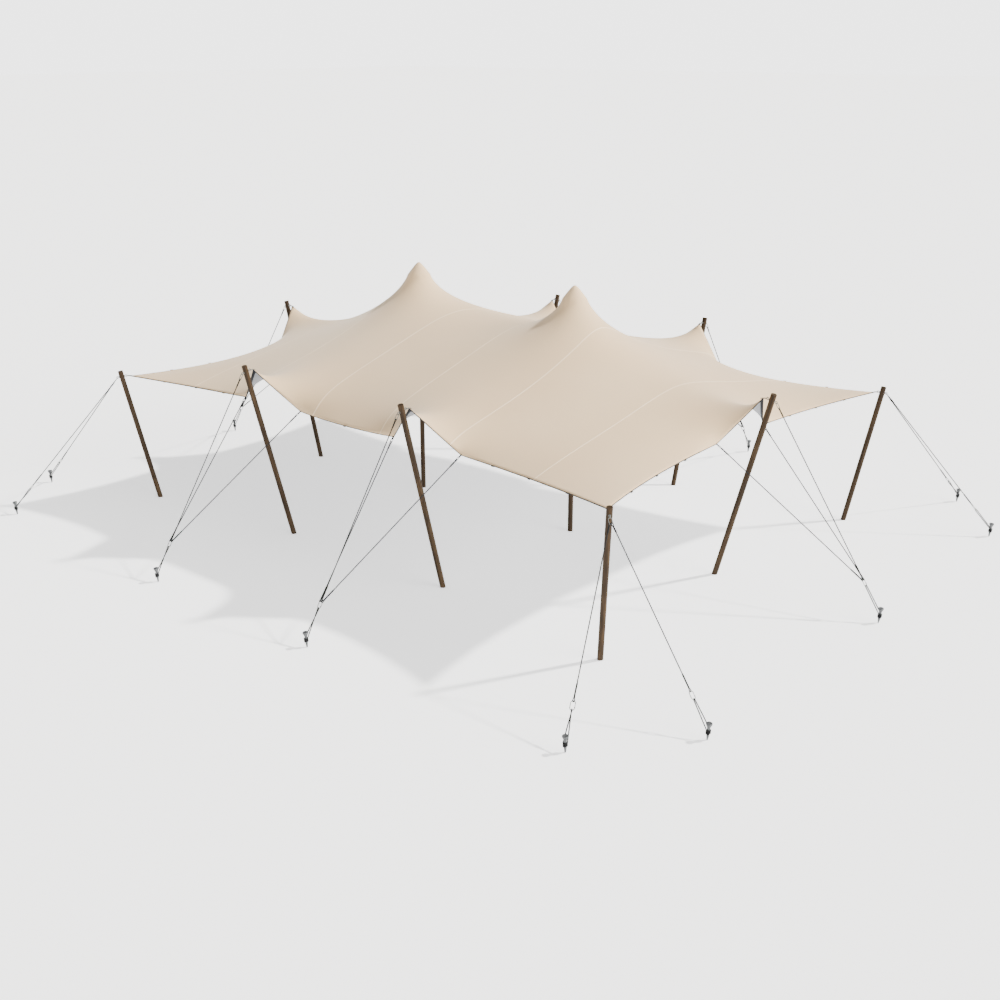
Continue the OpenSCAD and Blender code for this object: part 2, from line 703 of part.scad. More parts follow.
// Endless sling: a bight over the carabiner's bar, two strands, and a bight behind the stake.
module sling(h) {
  z = lean_dir(h[4]);
  y = unit(h[2] - z * (h[2] * z));
  x = unit(h[4][1] - z * (h[4][1] * z));
  a = h[0] + h[1] * hook_length;
  w = wrap_at(h[4]);
  r = (stake_d + rope_d) / 2 + 1;
  top = [for (i = [0:8]) a + (h[3] * cos(22.5 * i) - h[1] * sin(22.5 * i)) * bight_r];
  low = [for (i = [0:12]) w + (x * sin(15 * i) - y * cos(15 * i)) * r];
  pts = concat(top, [for (i = [1:6]) mix(top[8], low[0], i / 7)], low,
    [for (i = [1:6]) mix(low[12], top[0], i / 7)]);
  refs = concat([for (i = [0:8]) h[2]], [for (i = [1:6]) mix(h[2], z, i / 7)],
    [for (i = [0:12]) z], [for (i = [1:6]) mix(z, h[2], i / 7)]);
  loop_tube(pts, refs, rope_d);
}
// Turns of rope lashed round the stake under the sling.
module lashing(k) {
  z = lean_dir(k);
  x = unit(k[1] - z * (k[1] * z));
  for (i = [1:3])
    ring(wrap_at(k) - z * (i * lash_pitch), x, cross(z, x), (stake_d + rope_d) / 2 + 0.8, rope_d);
}
module stake_lashings() {
  color("dimgray")
    for (k = stakes)
      lashing(k);
}
module slings_corner() {
  color("dimgray")
    for (i = [0:7])
      sling(hooks[i]);
}
module slings_side() {
  color("dimgray")
    for (i = [8:13])
      sling(hooks[i]);
}

canopy();
edge_band();
edge_tabs();
canopy_straps();
pole_corner_front_left();
pole_corner_front_right();
pole_corner_back_right();
pole_corner_back_left();
pole_side_front_left();
pole_side_front_right();
pole_side_back_right();
pole_side_back_left();
pole_end_left();
pole_end_right();
king_pole_left();
king_pole_right();
king_caps();
eye_bolts();
bolt_washers();
inner_links();
outer_links();
dip_links();
corner_guys();
pole_guys();
dip_guys();
guy_sleeves();
ground_carabiners();
gate_pins();
gate_01();
gate_02();
gate_03();
gate_04();
gate_05();
gate_06();
gate_07();
gate_08();
gate_09();
gate_10();
gate_11();
gate_12();
gate_13();
gate_14();
stakes_corner();
stakes_front();
stakes_back();
stakes_left();
stakes_right();
stake_lashings();
slings_corner();
slings_side();
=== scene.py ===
"""Stretch-fabric shelter: canopy, timber poles, twisted guy lines and their fittings.

Metres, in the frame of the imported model: origin on the ground under the middle of the canopy,
X along the long side, Z up.
"""
import math
import bpy
import numpy as np
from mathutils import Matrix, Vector


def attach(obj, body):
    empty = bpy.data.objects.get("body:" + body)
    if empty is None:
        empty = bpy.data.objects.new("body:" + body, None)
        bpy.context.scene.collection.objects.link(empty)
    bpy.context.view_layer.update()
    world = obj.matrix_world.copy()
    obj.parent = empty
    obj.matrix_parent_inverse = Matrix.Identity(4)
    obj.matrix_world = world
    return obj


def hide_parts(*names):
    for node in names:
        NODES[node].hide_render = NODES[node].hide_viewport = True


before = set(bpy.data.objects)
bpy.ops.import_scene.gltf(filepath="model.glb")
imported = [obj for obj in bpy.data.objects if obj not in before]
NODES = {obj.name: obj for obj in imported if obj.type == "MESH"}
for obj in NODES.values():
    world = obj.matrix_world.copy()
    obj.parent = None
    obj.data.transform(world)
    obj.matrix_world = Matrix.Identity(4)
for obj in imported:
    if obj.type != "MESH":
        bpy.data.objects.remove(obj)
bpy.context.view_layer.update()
SHELTER = "shelter"

# ---------------------------------------------------------------- dimensions, as in part.scad
LENGTH, WIDTH = 10.5, 7.5
CELL, CELL_W = LENGTH / 28, WIDTH / 20
CORNER = np.array([LENGTH / 2 * 1.036, WIDTH / 2 * 1.047, 2.379])
LIFT_Z, DIP_Z, PEAK_Z, PEAK_X = 3.090, 2.428, 4.368, 1.808
EDGE_SAG, PEAK_U, CAP_R, CAP_ROUND = 0.135, PEAK_X * 0.95, 0.200, 0.065
SIDE_LIFT = np.array([4 * CELL * 1.203, CORNER[1] + 0.016, LIFT_Z])
DIP_IN = np.array([2 * CELL * 1.453, CORNER[1] - 0.332, DIP_Z])
DIP_OUT = np.array([6 * CELL * 1.1155, CORNER[1] - 0.332, DIP_Z])
END_LIFT = np.array([CORNER[0] + 0.005, 0, LIFT_Z - 0.010])
END_DIP = np.array([CORNER[0] - 0.339, 2 * CELL_W * 0.92, DIP_Z + 0.014])
POLE_D, CORNER_LEAN, SIDE_LEAN = 0.090, 0.511, 0.838
POLE_OVER, POLE_OFFSET, BOLT_DROP = 0.090, 0.185, 0.105
EYE_R, EYE_BAR = 0.018, 0.010
ROPE_D, LINK_BAR, HOOK_BAR = 0.014, 0.009, 0.010
SPLICE_D = ROPE_D + 0.001
STAKE_OUT = ((0.950, 2.054), (2.102, 0.662))  # the two corner stakes, from the canopy corner
SIDE_STAKE_OUT, END_STAKE_OUT = 2.188, 2.198
CORNER_SLING, SIDE_SLING = 0.470, 0.520
HOOK_R, HOOK_LENGTH = 0.031, 0.120
STAKE_H, STAKE_D, STAKE_LEAN = 0.245, 0.040, math.radians(5)
GAP = 0.0003
EYE_AT = POLE_D / 2 + 0.014 + EYE_R
LINK_SEAT = EYE_R - EYE_BAR / 2 - LINK_BAR / 2 - GAP
LINK_R, LINK_LEN, SHORT_LEN, DIP_REACH = 0.024, 0.095, 0.062, 0.046
BIGHT_R = (ROPE_D + HOOK_BAR) / 2 + 0.0007
LOOP_R = (SPLICE_D + HOOK_BAR) / 2 + 0.0004
HOOK_FAN = 2 * math.asin((SPLICE_D + 0.0006) / 2 / (HOOK_R - LOOP_R))
LINK_FAN = math.asin((SPLICE_D + 0.0006) / 2 / (LINK_R - LOOP_R))
WRAP_Z = STAKE_H * 0.58
LASH_PITCH = ROPE_D + 0.0005
UP = np.array([0.0, 0.0, 1.0])


def unit(v):
    return np.asarray(v, float) / np.linalg.norm(v)


def mix(a, b, t):
    return a + (b - a) * t


def mirrored(q, p):
    return np.array([q[0] * p[0], q[1] * p[1], p[2]])


# ---------------------------------------------------------------- poles, stakes and lines
QUADS = [(-1, -1), (1, -1), (1, 1), (-1, 1)]


class Post:
    """A pole that holds the edge: foot, top, outward direction and the canopy point it lifts."""

    def __init__(self, canopy_point, outward, lean):
        self.canopy, self.out = canopy_point, np.array(outward, float)
        axis = canopy_point + self.out * POLE_OFFSET
        self.top = np.array([axis[0], axis[1], canopy_point[2] + POLE_OVER])
        self.foot = self.top - self.out * lean - UP * self.top[2]
        self.up = unit(self.top - self.foot)
        self.bolt = unit(self.out - self.up * (self.out @ self.up))
        middle = self.top - self.up * BOLT_DROP
        self.outer_eye = middle + self.bolt * EYE_AT
        self.inner_eye = middle - self.bolt * EYE_AT
        self.side = unit(np.cross(UP, self.out))

    def inner_start(self):
        return self.inner_eye + self.inner_pull() * LINK_SEAT

    def inner_pull(self):
        return unit(self.canopy - self.inner_eye)


POSTS = [Post(mirrored(q, CORNER), (*unit([q[0] * 0.685, q[1] * 0.728]), 0), CORNER_LEAN)
         for q in QUADS]
POSTS += [Post(mirrored(q, SIDE_LIFT), (0, q[1], 0), SIDE_LEAN) for q in QUADS]
POSTS += [Post(END_LIFT * (e, 1, 1), (e, 0, 0), SIDE_LEAN) for e in (-1, 1)]


class Stake:
    """A ground stake: its tip, the way it leans, and where the rope sits on it."""

    def __init__(self, tip, outward):
        self.tip, self.out = np.array(tip, float), np.array(outward, float)
        self.up = self.out * math.sin(STAKE_LEAN) + UP * math.cos(STAKE_LEAN)
        self.wrap = self.tip + self.up * WRAP_Z


def corner_stakes(q):
    return [Stake(mirrored(q, CORNER) * (1, 1, 0) + (q[0] * x, q[1] * y, 0),
                  unit([q[0] * x, q[1] * y, 0])) for x, y in STAKE_OUT]


STAKES = [s for q in QUADS for s in corner_stakes(q)]
STAKES += [Stake((q[0] * SIDE_LIFT[0], q[1] * (SIDE_LIFT[1] + SIDE_STAKE_OUT), 0), (0, q[1], 0))
           for q in QUADS]
STAKES += [Stake((e * (END_LIFT[0] + END_STAKE_OUT), 0, 0), (e, 0, 0)) for e in (-1, 1)]


class Hook:
    """A ground carabiner: upper end, direction to the stake, side with the gate, and normal."""

    def __init__(self, stake, post, sling):
        self.stake, self.post = stake, post
        self.dir = unit(stake.wrap - post.outer_eye)
        self.side = unit(np.cross(UP, self.dir))
        self.normal = np.cross(self.dir, self.side)
        self.start = stake.wrap - self.dir * (sling + HOOK_LENGTH / 2)

    def seat(self, angle):
        """Place of a rope's eye on the carabiner's round end."""
        out = self.side * math.sin(angle) - self.dir * math.cos(angle)
        return self.start + self.dir * HOOK_R + out * HOOK_R


HOOKS = [Hook(STAKES[i], POSTS[i // 2], CORNER_SLING) for i in range(8)]
HOOKS += [Hook(STAKES[8 + i], POSTS[4 + i], SIDE_SLING) for i in range(6)]


def hooks_of(i):
    return HOOKS[2 * i:2 * i + 2] if i < 4 else [HOOKS[4 + i]]


def pull_of(i):
    return unit(sum(unit(h.start - POSTS[i].outer_eye) for h in hooks_of(i)))


def post_seat(i, angle):
    """Place of a rope's eye on the round end of a post's outer link, and the eye's normal."""
    p, s = pull_of(i), unit(np.cross(POSTS[i].bolt, pull_of(i)))
    start = POSTS[i].outer_eye + p * LINK_SEAT
    out = p * math.cos(angle) + s * math.sin(angle)
    return start + p * (LINK_LEN - LINK_R) + out * LINK_R, np.cross(p, s)


def dips_of(i):
    if i < 8:
        return [mirrored(QUADS[i - 4], DIP_IN), mirrored(QUADS[i - 4], DIP_OUT)]
    return [END_DIP * ((-1 if i == 8 else 1), s, 1) for s in (-1, 1)]


def side_of(d):
    return unit(np.cross(UP, d))


class Line:
    """A guy line: where its two eyes sit, and the normal of the plane of the upper one."""

    def __init__(self, kind, seat, end, hook):
        self.kind, self.hook = kind, hook
        self.start, self.start_normal = seat
        self.end = end
        self.dir = unit(self.end - self.start)


LINES = []
for i in range(8):
    post = POSTS[i // 2]
    link_side = unit(np.cross(post.bolt, pull_of(i // 2)))
    turn = LINK_FAN if (HOOKS[i].start - post.outer_eye) @ link_side > 0 else -LINK_FAN
    LINES.append(Line("corner", post_seat(i // 2, turn), HOOKS[i].seat(0), HOOKS[i]))
for i in range(4, 10):
    LINES.append(Line("pole", post_seat(i, 0), HOOKS[4 + i].seat(0), HOOKS[4 + i]))
DIPS = []
for i in range(4, 10):
    for dip in dips_of(i):
        hook = HOOKS[4 + i]
        sign = 1 if (dip - hook.post.canopy) @ hook.side > 0 else -1
        end = hook.seat(HOOK_FAN * sign)
        way = unit(end - dip)
        link = dip + way * DIP_REACH
        DIPS.append((dip, link, way))
        LINES.append(Line("dip", (link + way * SHORT_LEN, np.cross(way, side_of(way))),
                          end, hook))


# ---------------------------------------------------------------- materials
def linear(r, g, b):
    """Scene colour from 0-255 screen values."""
    return tuple((c / 255 / 12.92) if c / 255 <= 0.04045 else ((c / 255 + 0.055) / 1.055) ** 2.4
                 for c in (r, g, b)) + (1.0,)


class Nodes:
    """Short way to add and join the nodes of one material."""

    def __init__(self, name):
        self.material = bpy.data.materials.new(name)
        self.material.use_nodes = True
        self.tree = self.material.node_tree
        self.shader = self.tree.nodes["Principled BSDF"]
        self.place = self.add("ShaderNodeTexCoord").outputs["Object"]

    def add(self, kind, inputs=(), **settings):
        node = self.tree.nodes.new(kind)
        for key, value in settings.items():
            setattr(node, key, value)
        for key, value in dict(inputs).items():
            self.put(node.inputs[key], value)
        return node

    def put(self, socket, value):
        if isinstance(value, bpy.types.NodeSocket):
            self.tree.links.new(value, socket)
        else:
            socket.default_value = value

    def set(self, **values):
        for key, value in values.items():
            self.put(self.shader.inputs[key.replace("_", " ")], value)
        return self

    def mapped(self, scale, rotation=(0, 0, 0), location=(0, 0, 0), place=None):
        return self.add("ShaderNodeMapping", {
            "Vector": place or self.place, "Scale": scale,
            "Rotation": rotation, "Location": location}).outputs[0]

    def noise(self, place, scale, detail=4.0, rough=0.55):
        return self.add("ShaderNodeTexNoise", {
            "Vector": place, "Scale": scale, "Detail": detail, "Roughness": rough}).outputs["Fac"]

    def ramp(self, value, *stops):
        """Colour ramp through (position, colour) stops."""
        node = self.add("ShaderNodeValToRGB", {"Fac": value})
        elements = node.color_ramp.elements
        while len(elements) < len(stops):
            elements.new(0.5)
        for element, (position, colour) in zip(elements, stops):
            element.position, element.color = position, colour
        return node.outputs["Color"]

    def math(self, kind, a, b=0.0, c=0.0):
        node = self.add("ShaderNodeMath", operation=kind)
        for socket, value in zip(node.inputs, (a, b, c)):
            self.put(socket, value)
        return node.outputs[0]

    def blend(self, kind, amount, a, b):
        node = self.add("ShaderNodeMix", data_type="RGBA", blend_type=kind)
        for socket, value in ((node.inputs[0], amount), (node.inputs[6], a), (node.inputs[7], b)):
            self.put(socket, value)
        return node.outputs[2]

    def bump(self, height, strength, distance):
        self.put(self.shader.inputs["Normal"], self.add("ShaderNodeBump", {
            "Height": height, "Strength": strength, "Distance": distance}).outputs["Normal"])
        return self


def fabric_material(name, light, dark, rough):
    n = Nodes(name)
    broad = n.noise(n.place, 0.55, 3.0)
    mottle = n.noise(n.place, 60.0, 2.0)
    colour = n.ramp(broad, (0.3, linear(*dark)), (0.7, linear(*light)))
    colour = n.blend("MULTIPLY", 0.25, colour, n.ramp(mottle, (0.2, (0.86, 0.86, 0.86, 1)),
                                                      (0.8, (1, 1, 1, 1))))
    knit_a = n.add("ShaderNodeTexWave", {"Vector": n.place, "Scale": 160.0, "Distortion": 0.6},
                   bands_direction="X").outputs["Fac"]
    knit_b = n.add("ShaderNodeTexWave", {"Vector": n.place, "Scale": 160.0, "Distortion": 0.6},
                   bands_direction="Y").outputs["Fac"]
    height = n.math("ADD", n.math("MULTIPLY", knit_a, knit_b), n.math("MULTIPLY", mottle, 0.5))
    n.set(Base_Color=colour, Roughness=rough, Sheen_Weight=0.25, Sheen_Roughness=0.5,
          Specular_IOR_Level=0.25)
    return n.bump(height, 0.25, 0.0008).material


def webbing_material(name, base):
    n = Nodes(name)
    weave = n.add("ShaderNodeTexWave", {"Vector": n.place, "Scale": 210.0, "Distortion": 0.4},
                  bands_direction="DIAGONAL").outputs["Fac"]
    cross = n.add("ShaderNodeTexWave", {
        "Vector": n.mapped((1, -1, 1)), "Scale": 210.0, "Distortion": 0.4},
        bands_direction="DIAGONAL").outputs["Fac"]
    dust = n.noise(n.place, 9.0, 5.0)
    threads = n.math("MULTIPLY", weave, cross)
    colour = n.blend("MIX", threads, linear(*[c * 0.72 for c in base]), linear(*base))
    colour = n.blend("MIX", n.math("MULTIPLY", dust, 0.35), colour,
                     linear(*[c * 1.5 for c in base]))
    n.set(Base_Color=colour, Roughness=0.85, Specular_IOR_Level=0.25)
    return n.bump(threads, 0.5, 0.0006).material


def rope_material(name, base):
    n = Nodes(name)
    fibres = n.noise(n.place, 420.0, 2.0)
    dust = n.noise(n.place, 6.0, 4.0)
    colour = n.ramp(fibres, (0.25, linear(*[c * 0.6 for c in base])), (0.75, linear(*base)))
    colour = n.blend("MIX", n.math("MULTIPLY", dust, 0.3), colour,
                     linear(*[c * 1.45 for c in base]))
    n.set(Base_Color=colour, Roughness=0.9, Specular_IOR_Level=0.25)
    return n.bump(fibres, 0.6, 0.0006).material


def metal_material(name, base, rough, grime):
    n = Nodes(name)
    spots = n.noise(n.place, 34.0, 5.0)
    fine = n.noise(n.place, 240.0, 3.0)
    colour = n.ramp(spots, (0.3, linear(*grime)), (0.62, linear(*base)))
    roughness = n.math("MULTIPLY_ADD", spots, 0.22, rough)
    n.set(Base_Color=colour, Metallic=0.85, Roughness=roughness)
    return n.bump(fine, 0.12, 0.0004).material


def rubber_material(name, base):
    n = Nodes(name)
    fine = n.noise(n.place, 180.0, 4.0)
    colour = n.ramp(fine, (0.3, linear(*[c * 0.75 for c in base])), (0.8, linear(*base)))
    n.set(Base_Color=colour, Roughness=0.7)
    return n.bump(fine, 0.3, 0.0006).material


def wood_material(name, foot, axis, seed):
    """Stained round timber whose grain runs along the pole's axis."""
    n = Nodes(name)
    turn = Vector(axis).rotation_difference(Vector((0, 0, 1))).to_euler("XYZ")
    at = turn.to_matrix() @ Vector(foot)
    local = n.mapped((1, 1, 1), tuple(turn), tuple(-at))
    grain_place = n.mapped((1, 1, 0.045), location=(seed, seed * 1.7, 0), place=local)
    fine = n.noise(grain_place, 130.0, 5.0, 0.65)
    broad = n.noise(grain_place, 34.0, 3.0, 0.6)
    blotch = n.noise(n.mapped((1, 1, 0.5), location=(seed * 3, 0, seed), place=local), 5.0, 4.0)
    knots = n.add("ShaderNodeTexVoronoi", {
        "Vector": n.mapped((7.5, 7.5, 2.6), location=(seed, -seed, seed * 2.3), place=local),
        "Scale": 1.0, "Randomness": 1.0}).outputs["Distance"]
    knot = n.math("SMOOTH_MIN", n.math("MULTIPLY", knots, 5.0), 1.0, 0.2)
    colour = n.ramp(broad, (0.28, linear(43, 31, 18)), (0.5, linear(61, 45, 27)),
                    (0.72, linear(84, 64, 40)))
    colour = n.blend("MULTIPLY", 0.75, colour,
                     n.ramp(fine, (0.3, linear(120, 112, 104)), (0.62, (1, 1, 1, 1))))
    colour = n.blend("MULTIPLY", 0.6, colour,
                     n.ramp(blotch, (0.3, linear(168, 160, 150)), (0.65, (1, 1, 1, 1))))
    colour = n.blend("MULTIPLY", 0.8, colour,
                     n.ramp(knot, (0.12, linear(92, 72, 56)), (0.55, (1, 1, 1, 1))))
    height = n.math("ADD", n.math("MULTIPLY", fine, 0.7), n.math("MULTIPLY", knot, 0.5))
    n.set(Base_Color=colour, Roughness=n.math("MULTIPLY_ADD", fine, 0.25, 0.5),
          Specular_IOR_Level=0.15)
    return n.bump(height, 0.45, 0.002).material


CANOPY_TOP = fabric_material("canopy_outside", (207, 179, 140), (202, 173, 133), 0.78)
CANOPY_UNDER = fabric_material("canopy_inside", (140, 141, 144), (132, 133, 136), 0.85)
SEAM = fabric_material("canopy_seam_tape", (226, 203, 170), (221, 197, 163), 0.7)
WEBBING = webbing_material("charcoal_webbing", (34, 35, 38))
TAB_WEBBING = webbing_material("tab_webbing", (42, 43, 45))
ROPE = rope_material("charcoal_rope", (24, 24, 25))
SLEEVE = webbing_material("black_sleeve", (16, 16, 17))
STEEL = metal_material("polished_links", (116, 118, 115), 0.3, (76, 76, 73))
ZINC = metal_material("zinc_hardware", (116, 116, 113), 0.32, (78, 78, 76))
STAKE_STEEL = metal_material("galvanised_stake", (104, 106, 107), 0.42, (74, 75, 76))
RUBBER = rubber_material("cap_rubber", (62, 62, 64))


# ---------------------------------------------------------------- meshes
def add_mesh(name, parts, materials, smooth=True, body=SHELTER):
    """One object from (vertices, faces, material index) parts."""
    vertices, faces, indices, first = [], [], [], 0
    for v, f, m in parts:
        vertices.append(np.asarray(v, float))
        faces += [tuple(int(k) + first for k in face) for face in f]
        indices += list(m) if hasattr(m, "__len__") else [m] * len(f)
        first += len(v)
    mesh = bpy.data.meshes.new(name)
    mesh.from_pydata(np.concatenate(vertices).tolist(), [], faces)
    for material in materials:
        mesh.materials.append(material)
    mesh.polygons.foreach_set("material_index", indices)
    if smooth:
        mesh.shade_smooth()
    mesh.validate()
    obj = bpy.data.objects.new(name, mesh)
    bpy.context.scene.collection.objects.link(obj)
    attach(obj, body)
    return obj


def tube(points, radius, sides=12, refs=None, closed=False):
    """Mesh of a tube along the points. radius(i, angle) gives its surface."""
    points = np.asarray(points, float)
    count = len(points)
    if closed:
        tangents = np.roll(points, -1, 0) - np.roll(points, 1, 0)
    else:
        tangents = np.gradient(points, axis=0)
    tangents /= np.linalg.norm(tangents, axis=1)[:, None]
    if refs is None:
        ref = side_of(tangents[0]) if abs(tangents[0][2]) < 0.98 else np.array([1.0, 0, 0])
        refs = np.empty_like(points)
        for i, t in enumerate(tangents):
            ref = unit(ref - t * (ref @ t))
            refs[i] = ref
    else:
        refs = refs - tangents * np.sum(refs * tangents, axis=1)[:, None]
        refs /= np.linalg.norm(refs, axis=1)[:, None]
    across = np.cross(tangents, refs)
    angle = np.arange(sides) * 2 * math.pi / sides
    r = radius(np.arange(count)[:, None], angle[None, :]) if callable(radius) else radius
    r = np.broadcast_to(r, (count, sides))[:, :, None]
    ring = (refs[:, None] * np.cos(angle)[None, :, None]
            + across[:, None] * np.sin(angle)[None, :, None])
    vertices = (points[:, None] + ring * r).reshape(-1, 3)
    faces = []
    for i in range(count if closed else count - 1):
        a, b = i * sides, (i + 1) % count * sides
        faces += [(a + k, a + (k + 1) % sides, b + (k + 1) % sides, b + k) for k in range(sides)]
    if not closed:
        faces.append(tuple(range(sides - 1, -1, -1)))
        faces.append(tuple((count - 1) * sides + k for k in range(sides)))
    return vertices, faces, 0


def resample(points, step):
    """The same route in even steps, and the length along it."""
    points = np.asarray(points, float)
    along = np.concatenate([[0], np.cumsum(np.linalg.norm(np.diff(points, axis=0), axis=1))])
    count = max(2, int(round(along[-1] / step)) + 1)
    s = np.linspace(0, along[-1], count)
    return np.stack([np.interp(s, along, points[:, k]) for k in range(3)], 1), along[-1]


ROPE_LAY = 0.055  # length in which a strand goes once round
ROPE_STEP = 0.0065
EYE_STEP = 0.004
THROAT = 0.042  # from a rope's bar to where its eye closes and its free length starts
SLEEVE_START, TOP_SLEEVE_END, LOW_SLEEVE_END = 0.034, 0.134, 0.234
FULL_R = 0.0082  # over the strands, where the rope lies full between its ends


def rope_surface(step, r=ROPE_D / 2):
    """Three strands laid round each other."""
    turn = 2 * math.pi * step / ROPE_LAY
    return lambda i, angle: r * (0.91 + 0.09 * np.cos(3 * (angle - i * turn)))


def strip(points, side, width, thickness):
    """Flat webbing along the points, its width along side."""
    points = np.asarray(points, float)
    tangents = np.gradient(points, axis=0)
    tangents /= np.linalg.norm(tangents, axis=1)[:, None]
    side = np.asarray(side, float)
    normal = np.cross(tangents, side)
    normal /= np.linalg.norm(normal, axis=1)[:, None]
    w, t = width / 2, thickness / 2
    profile = [(-w, -t * 0.3), (-w * 0.95, -t), (0, -t * 0.86), (w * 0.95, -t), (w, -t * 0.3),
               (w, t * 0.3), (w * 0.95, t), (0, t * 0.86), (-w * 0.95, t), (-w, t * 0.3)]
    sides = len(profile)
    vertices = np.array([[p + side * a + n * b for a, b in profile] for p, n in zip(points, normal)])
    faces = []
    for i in range(len(points) - 1):
        a, b = i * sides, (i + 1) * sides
        faces += [(a + k, a + (k + 1) % sides, b + (k + 1) % sides, b + k) for k in range(sides)]
    faces.append(tuple(range(sides - 1, -1, -1)))
    faces.append(tuple((len(points) - 1) * sides + k for k in range(sides)))
    return vertices.reshape(-1, 3), faces, 0


# ---------------------------------------------------------------- guy lines and slings
def eye_route(at, normal, way):
    """Rope round a bar at the place at: out of the throat, round the bar and back in."""
    r = LOOP_R
    across = unit(np.cross(normal, way))
    half = math.acos(r / (THROAT - 0.002))
    points = []
    for k in range(25):
        turn = half + (2 * math.pi - 2 * half) * k / 24
        points.append(at + (way * math.cos(turn) + across * math.sin(turn)) * r)
    pinch = ROPE_D * 0.36
    first = at + way * THROAT + across * pinch
    last = at + way * THROAT - across * pinch
    return np.array([first] + points + [last])


def sleeve_parts(a, b):
    """Sewn sleeve from a to b, drawn in at both mouths."""
    points, length = resample([a, b], 0.004)
    s = np.linspace(0, length, len(points))
    edge = np.minimum(s, length - s)
    swell = np.clip(edge / 0.014, 0, 1) ** 0.5
    r = FULL_R - 0.001 + 0.0038 * swell + 0.00025 * np.sin(s * 2 * math.pi / 0.009)
    return tube(points, lambda i, angle: r[i] * (1 + 0.02 * np.cos(8 * angle)), 14)


for number, line in enumerate(LINES):
    name = f"{line.kind}_guy_{number + 1:02d}"
    top, bottom, way = line.start, line.end, line.dir
    first, last = top + way * THROAT, bottom - way * THROAT
    route, length = resample([first, last], ROPE_STEP)
    rope = add_mesh(name, [tube(route, rope_surface(length / (len(route) - 1), FULL_R))], [ROPE])
    eyes = []
    for at, normal, inward in ((top, line.start_normal, way), (bottom, line.hook.normal, -way)):
        path = resample(eye_route(at, normal, inward), EYE_STEP)[0]
        eyes.append(tube(path, rope_surface(EYE_STEP)))
    eye = add_mesh(name + "_eyes", eyes, [ROPE])
    sleeves = add_mesh(name + "_sleeves", [
        sleeve_parts(top + way * SLEEVE_START, top + way * TOP_SLEEVE_END),
        sleeve_parts(bottom - way * SLEEVE_START, bottom - way * LOW_SLEEVE_END)],
        [SLEEVE])

for cad_node, kind in (("corner_guys", "corner"), ("pole_guys", "pole"), ("dip_guys", "dip")):
    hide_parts(cad_node)
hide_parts("guy_sleeves")

for number, hook in enumerate(HOOKS):
    stake = hook.stake
    z = stake.up
    y = unit(hook.side - z * (hook.side @ z))
    x = unit(stake.out - z * (stake.out @ z))
    r = (STAKE_D + ROPE_D) / 2 + 0.001
    far_bar = hook.start + hook.dir * HOOK_LENGTH

    def behind(turn):
        return stake.wrap + (x * math.sin(turn) - y * math.cos(turn)) * r

    bight = [far_bar + (hook.normal * math.cos(t) - hook.dir * math.sin(t)) * BIGHT_R
             for t in np.linspace(0, math.pi, 17)]
    first = [behind(math.pi / 2 + 0.14 + (math.pi / 2 - 0.14) * k / 12) for k in range(13)]
    last = [behind((math.pi / 2 - 0.14) * k / 12) for k in range(13)]
    path, length = resample(first + bight + last, 0.006)
    name = f"sling_{number + 1:02d}"
    rope = add_mesh(name, [tube(path, rope_surface(length / (len(path) - 1), FULL_R))], [ROPE])
    seam = [behind(math.pi / 2 + t) for t in np.linspace(-0.62, 0.62, 15)]
    whipping = add_mesh(name + "_whipping", [tube(
        seam, lambda i, a: ROPE_D / 2 + 0.0006 + 0.0002 * np.cos(i * math.pi) + 0 * a, 14)],
        [SLEEVE])
    if number in (0, 8):
        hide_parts("slings_corner" if number == 0 else "slings_side")


def lashing(stake):
    """Three turns of rope round the stake, under the sling."""
    z = stake.up
    x = unit(stake.out - z * (stake.out @ z))
    y = np.cross(z, x)
    r = (STAKE_D + ROPE_D) / 2 + 0.0009
    turns = np.linspace(0.02, 2.98, 120)
    route = [stake.wrap - z * (LASH_PITCH * (0.5 + t)) + (x * math.cos(t * 2 * math.pi)
                                                          + y * math.sin(t * 2 * math.pi)) * r
             for t in turns]
    path, length = resample(route, 0.0045)
    return tube(path, rope_surface(length / (len(path) - 1)))


lashings = add_mesh("stake_rope_turns", [lashing(stake) for stake in STAKES], [ROPE])
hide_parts("stake_lashings")


# ---------------------------------------------------------------- canopy surface
def edge_curve(a, b, t, powers, sag):
    return np.array([mix(a[0], b[0], t ** powers[0]), mix(a[1], b[1], t ** powers[1]),
                     mix(a[2], b[2], t)]) - np.array(sag) * 4 * t * (1 - t)


def long_edge(u):
    k = abs(u) / CELL
    if k <= 2:
        return np.array([k / 2 * DIP_IN[0], DIP_IN[1], DIP_IN[2] - 0.035 * (1 - k * k / 4)])
    if k <= 4:
        return mix(DIP_IN, SIDE_LIFT, (k - 2) / 2)
    if k <= 6:
        return mix(SIDE_LIFT, DIP_OUT, (k - 4) / 2)
    return edge_curve(DIP_OUT, CORNER, (k - 6) / 8, (1.12, 1), (0, EDGE_SAG, 0.035))


def end_edge(v):
    k = abs(v) / CELL_W
    if k <= 2:
        return mix(END_LIFT, END_DIP, k / 2)
    return edge_curve(END_DIP, CORNER, (k - 2) / 8, (1, 0.95), (EDGE_SAG, 0, 0.035))


def signed(p, u, v):
    return np.array([-p[0] if u < 0 else p[0], -p[1] if v < 0 else p[1], p[2]])


